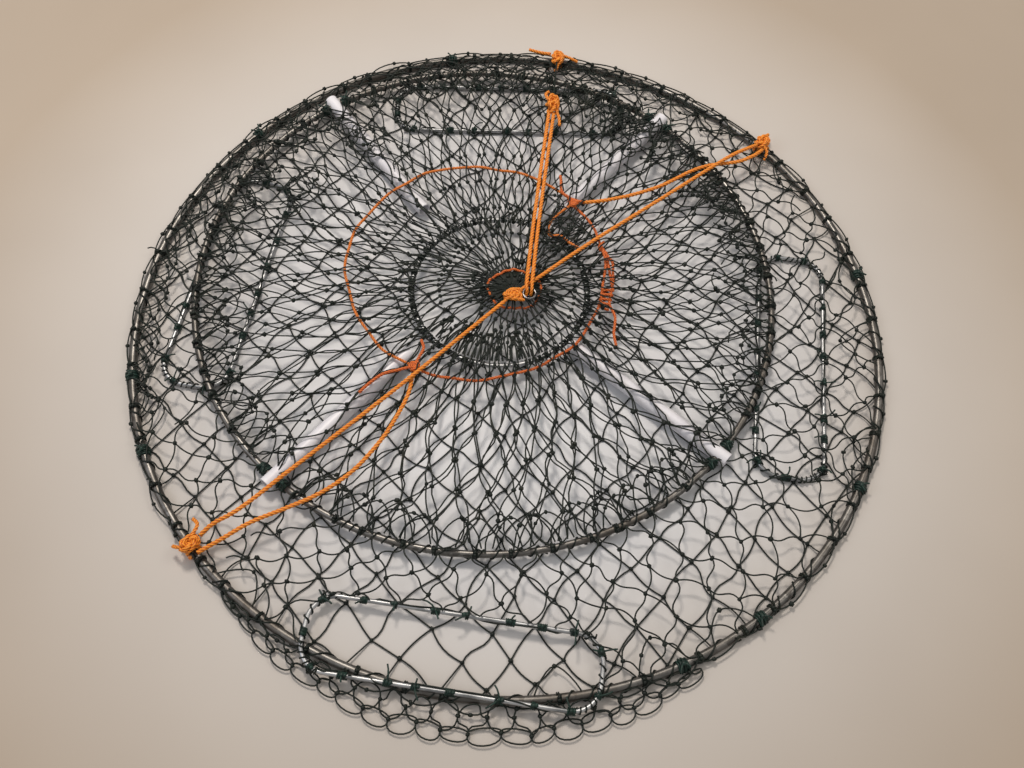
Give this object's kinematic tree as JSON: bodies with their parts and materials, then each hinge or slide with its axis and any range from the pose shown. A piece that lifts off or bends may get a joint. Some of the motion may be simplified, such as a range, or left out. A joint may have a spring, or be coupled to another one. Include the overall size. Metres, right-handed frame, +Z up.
{
  "type": "crayfish trap",
  "caption": "Collapsible crayfish trap folded flat: two wire hoops, knotted net, swing-out prop tubes, wire entry loops and a rope bridle.",
  "frame": {"origin": "middle of the base hoop, on the ground that it lies on", "axes": "+Z up out of the ground, +Y towards the hoop's hanging side, +X to the right seen from above"},
  "size_m": [0.9094, 0.9253, 0.0427],
  "materials": {
    "galvanised_rod": "galvanised, dull",
    "bright_wire": "bright zinc plated",
    "net_twine": "knotted green-black twine",
    "lashing": "waxed green twine",
    "pvc_tube": "white extruded PVC",
    "orange_rope": "laid polypropylene",
    "steel_ring": "welded steel ring",
    "dark_line": "thin braided line"
  },
  "bodies": {
    "base_frame": {"base_ring": "galvanised_rod", "base_net": "net_twine", "side_net": "net_twine", "base_lashing_1": "lashing", "base_lashing_2": "lashing", "base_lashing_3": "lashing", "base_lashing_4": "lashing", "base_lashing_5": "lashing", "base_lashing_6": "lashing", "base_lashing_7": "lashing", "base_lashing_8": "lashing", "bridle_wrap_left": "orange_rope", "bridle_wrap_right": "orange_rope", "bridle_wrap_top": "orange_rope", "bridle_knot_left": "orange_rope", "bridle_knot_right": "orange_rope", "bridle_knot_top": "orange_rope", "bridle_leg_left": "orange_rope", "bridle_leg_right": "orange_rope", "bridle_line_top": "dark_line", "bridle_tail_top": "orange_rope", "slack_cord_left": "orange_rope", "slack_cord_right": "orange_rope"},
    "top_frame": {"top_ring": "galvanised_rod", "neck_ring": "bright_wire", "neck_net": "net_twine", "top_net": "net_twine", "throat_gather": "net_twine", "throat_drawcord": "orange_rope", "net_drawcord_lower": "orange_rope", "net_drawcord_upper": "orange_rope", "drawcord_knot_left": "orange_rope", "drawcord_knot_right": "orange_rope", "bridle_centre_knot": "orange_rope", "bridle_slide_knot": "orange_rope", "bridle_leg_top_a": "orange_rope", "bridle_leg_top_b": "orange_rope", "prop_lashing_1a": "lashing", "prop_lashing_1b": "lashing", "prop_lashing_2a": "lashing", "prop_lashing_2b": "lashing", "prop_lashing_3a": "lashing", "prop_lashing_3b": "lashing", "prop_lashing_4a": "lashing", "prop_lashing_4b": "lashing"},
    "prop_1_body": {"prop_1": "pvc_tube"},
    "prop_2_body": {"prop_2": "pvc_tube"},
    "prop_3_body": {"prop_3": "pvc_tube"},
    "prop_4_body": {"prop_4": "pvc_tube"},
    "entry_1_body": {"entry_loop_1": "bright_wire"},
    "entry_2_body": {"entry_loop_2": "bright_wire"},
    "entry_3_body": {"entry_loop_3": "bright_wire"},
    "entry_4_body": {"entry_loop_4": "bright_wire"},
    "pull_ring_body": {"pull_ring": "steel_ring"}
  },
  "joints": [
    {"name": "trap_lift", "type": "slide", "parent": "base_frame", "child": "top_frame", "axis": [0.1363, -0.2823, 0.9496], "range_m": [0, 0.2054], "deforming": ["side_net", "base_net", "bridle_leg_left", "bridle_leg_right", "bridle_line_top", "slack_cord_left", "slack_cord_right"]},
    {"name": "prop_1_swing", "type": "hinge", "parent": "top_frame", "child": "prop_1_body", "pos_m": [0.21412, 0.31762, 0.0128], "axis": [0.7313, -0.682, 0], "range_deg": [0, 111.95]},
    {"name": "prop_2_swing", "type": "hinge", "parent": "top_frame", "child": "prop_2_body", "pos_m": [-0.22724, 0.35182, 0.0128], "axis": [0.8277, 0.5612, 0], "range_deg": [0, 111.95]},
    {"name": "prop_3_swing", "type": "hinge", "parent": "top_frame", "child": "prop_3_body", "pos_m": [-0.27012, -0.20162, 0.0128], "axis": [-0.7313, 0.682, 0], "range_deg": [0, 111.95]},
    {"name": "prop_4_swing", "type": "hinge", "parent": "top_frame", "child": "prop_4_body", "pos_m": [0.23162, -0.18412, 0.0128], "axis": [-0.682, -0.7313, 0], "range_deg": [0, 111.95]},
    {"name": "entry_1_raise", "type": "hinge", "parent": "base_frame", "child": "entry_1_body", "pos_m": [0.01368, 0.39176, 0.0045], "axis": [-0.9994, 0.0349, 0], "range_deg": [0, 65]},
    {"name": "entry_2_raise", "type": "hinge", "parent": "base_frame", "child": "entry_2_body", "pos_m": [-0.38441, 0.08171, 0.0045], "axis": [-0.2079, -0.9781, 0], "range_deg": [0, 65]},
    {"name": "entry_3_raise", "type": "hinge", "parent": "base_frame", "child": "entry_3_body", "pos_m": [-0.08164, -0.4405, 0.0128], "axis": [0.9833, -0.1822, 0], "range_deg": [0, 65]},
    {"name": "entry_4_raise", "type": "hinge", "parent": "base_frame", "child": "entry_4_body", "pos_m": [0.37718, -0.06651, 0.0045], "axis": [0.1736, 0.9848, 0], "range_deg": [0, 65]},
    {"name": "pull_ring_swing", "type": "hinge", "parent": "top_frame", "child": "pull_ring_body", "pos_m": [0.0159, 0.024, 0.0358], "axis": [0, -1, 0], "range_deg": [0, 90]}
  ],
  "couplings": [
    {"joint": "prop_1_swing", "follows": "trap_lift", "rad_per_m": 9.5124},
    {"joint": "prop_2_swing", "follows": "trap_lift", "rad_per_m": 9.5124},
    {"joint": "prop_3_swing", "follows": "trap_lift", "rad_per_m": 9.5124},
    {"joint": "prop_4_swing", "follows": "trap_lift", "rad_per_m": 9.5124},
    {"joint": "entry_1_raise", "follows": "trap_lift", "rad_per_m": 5.5227},
    {"joint": "entry_2_raise", "follows": "trap_lift", "rad_per_m": 5.5227},
    {"joint": "entry_3_raise", "follows": "trap_lift", "rad_per_m": 5.5227},
    {"joint": "entry_4_raise", "follows": "trap_lift", "rad_per_m": 5.5227}
  ]
}
